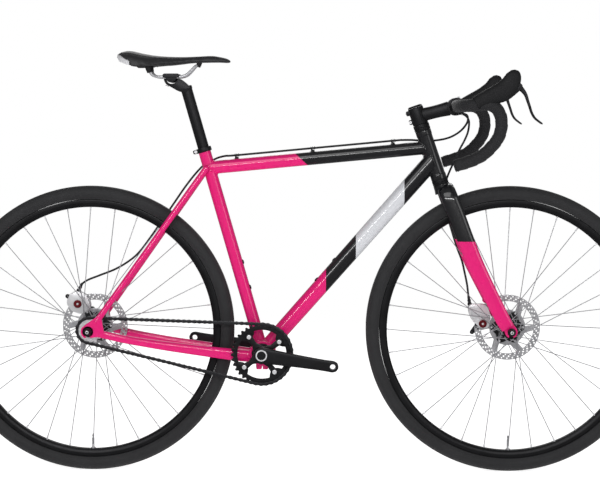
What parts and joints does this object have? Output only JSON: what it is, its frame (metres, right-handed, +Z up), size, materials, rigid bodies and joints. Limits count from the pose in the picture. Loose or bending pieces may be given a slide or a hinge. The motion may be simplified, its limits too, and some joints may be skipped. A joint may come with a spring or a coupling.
{
  "type": "road bicycle",
  "caption": "Diamond-frame road bicycle with drop bar, disc brakes and a single-speed chain drive; wheels, crank, steering, levers, seatpost and saddle move",
  "frame": {"origin": "on the ground, midway between the two axles, in the bicycle's middle plane", "axes": "+X forward, +Y to the rider's left, +Z up"},
  "size_m": [1.706, 0.4538, 1.018],
  "materials": {
    "pink_paint": "glossy paint",
    "black_paint": "glossy paint",
    "silver_paint": "glossy paint",
    "black_alloy": "satin anodised",
    "black_rim": "satin anodised",
    "silver_alloy": "polished",
    "red_alloy": "anodised",
    "rotor_steel": "ground steel",
    "spoke_steel": "drawn stainless steel",
    "rail_steel": "brushed steel",
    "chain_steel": "dark oiled steel",
    "tyre": "matt rubber",
    "black_rubber": "matt rubber",
    "bar_tape": "perforated foam tape",
    "black_plastic": "satin",
    "saddle_leather": "fine-grained cover",
    "silver_patch": "silver-grey trim"
  },
  "bodies": {
    "frame": {"head_tube": "black_paint", "headset_cup_lower": "black_alloy", "headset_cup_upper": "black_alloy", "top_tube": "pink_paint", "down_tube": "pink_paint", "seat_tube": "pink_paint", "bottom_bracket_shell": "pink_paint", "bottom_bracket_cup_right": "black_alloy", "bottom_bracket_cup_left": "black_alloy", "chainstay_left": "pink_paint", "chainstay_right": "pink_paint", "seatstay_left": "pink_paint", "seatstay_right": "pink_paint", "dropout_left": "pink_paint", "dropout_right": "pink_paint", "seat_clamp": "black_alloy", "rear_axle_skewer": "black_alloy", "rear_caliper_body": "black_alloy", "rear_brake_housing": "black_plastic", "chain": "chain_steel"},
    "fork": {"fork_crown_and_steerer": "black_paint", "fork_blade_left": "pink_paint", "fork_blade_right": "pink_paint", "stem": "black_alloy", "stem_faceplate": "black_alloy", "headset_top_cap": "black_alloy", "handlebar": "black_alloy", "bar_tape_left": "bar_tape", "bar_tape_right": "bar_tape", "brake_hood_left": "black_rubber", "brake_hood_right": "black_rubber", "front_axle_skewer": "black_alloy", "front_caliper_body": "black_alloy", "front_brake_housing": "black_plastic"},
    "front_wheel": {"front_tyre": "tyre", "front_rim": "black_rim", "front_spokes_left": "spoke_steel", "front_spokes_right": "spoke_steel", "front_hub": "black_alloy", "front_rotor": "rotor_steel"},
    "rear_wheel": {"rear_tyre": "tyre", "rear_rim": "black_rim", "rear_spokes_left": "spoke_steel", "rear_spokes_right": "spoke_steel", "rear_hub": "black_alloy", "rear_rotor": "rotor_steel"},
    "crank": {"crank_arm_right": "black_alloy", "crank_arm_left": "black_alloy", "chainring": "black_alloy"},
    "freewheel": {"freewheel_cog": "chain_steel"},
    "lever_right": {"brake_lever_right": "black_alloy"},
    "lever_left": {"brake_lever_left": "black_alloy"},
    "front_brake_arm": {"front_caliper_arm": "black_alloy"},
    "rear_brake_arm": {"rear_caliper_arm": "black_alloy"},
    "front_release": {"front_qr_lever": "black_alloy"},
    "rear_release": {"rear_qr_lever": "black_alloy"},
    "post": {"seatpost": "black_alloy"},
    "seat": {"saddle": "saddle_leather", "saddle_rails": "rail_steel", "saddle_clamp": "black_alloy"}
  },
  "joints": [
    {"name": "steering", "type": "hinge", "parent": "frame", "child": "fork", "pos_m": [0.31558, 0, 0.76794], "axis": [-0.3256, 0, 0.9455], "range_deg": [-60, 60], "deforming": ["rear_brake_housing"]},
    {"name": "front_wheel_spin", "type": "hinge", "parent": "fork", "child": "front_wheel", "pos_m": [0.506, 0, 0.347], "axis": [0, 1, 0], "continuous": true},
    {"name": "rear_wheel_spin", "type": "hinge", "parent": "frame", "child": "rear_wheel", "pos_m": [-0.506, 0, 0.347], "axis": [0, 1, 0], "continuous": true},
    {"name": "crank_spin", "type": "hinge", "parent": "frame", "child": "crank", "pos_m": [-0.09083, 0, 0.2905], "axis": [0, 1, 0], "continuous": true},
    {"name": "freewheel_spin", "type": "hinge", "parent": "frame", "child": "freewheel", "pos_m": [-0.506, 0, 0.347], "axis": [0, 1, 0], "continuous": true},
    {"name": "right_lever_pull", "type": "hinge", "parent": "fork", "child": "lever_right", "pos_m": [0.501, -0.21, 0.927], "axis": [0, 1, 0], "range_deg": [0, 24], "stiffness_Nm_per_rad": 0.6, "springref_deg": -11.46},
    {"name": "left_lever_pull", "type": "hinge", "parent": "fork", "child": "lever_left", "pos_m": [0.501, 0.21, 0.927], "axis": [0, 1, 0], "range_deg": [0, 24], "stiffness_Nm_per_rad": 0.6, "springref_deg": -11.46},
    {"name": "rear_brake_arm_swing", "type": "hinge", "parent": "frame", "child": "rear_brake_arm", "pos_m": [-0.547, 0.071, 0.402], "axis": [0, 1, 0], "range_deg": [0, 24]},
    {"name": "front_brake_arm_swing", "type": "hinge", "parent": "fork", "child": "front_brake_arm", "pos_m": [0.445, 0.0553, 0.357], "axis": [0, 1, 0], "range_deg": [0, 24]},
    {"name": "front_release_swing", "type": "hinge", "parent": "fork", "child": "front_release", "pos_m": [0.506, 0.0836, 0.347], "axis": [-0.9848, 0, -0.1736], "range_deg": [0, 170]},
    {"name": "rear_release_swing", "type": "hinge", "parent": "frame", "child": "rear_release", "pos_m": [-0.506, 0.0938, 0.347], "axis": [-0.9397, 0, -0.342], "range_deg": [0, 170]},
    {"name": "seatpost_slide", "type": "slide", "parent": "frame", "child": "post", "axis": [-0.2756, 0, 0.9613], "range_m": [-0.1, 0.06]},
    {"name": "saddle_tilt", "type": "hinge", "parent": "post", "child": "seat", "pos_m": [-0.308, 0, 0.955], "axis": [0, 1, 0], "range_deg": [-8, 8]}
  ],
  "couplings": [
    {"joint": "freewheel_spin", "follows": "crank_spin", "ratio": 2.4},
    {"joint": "rear_brake_arm_swing", "follows": "right_lever_pull", "ratio": 1},
    {"joint": "front_brake_arm_swing", "follows": "left_lever_pull", "ratio": 1}
  ]
}
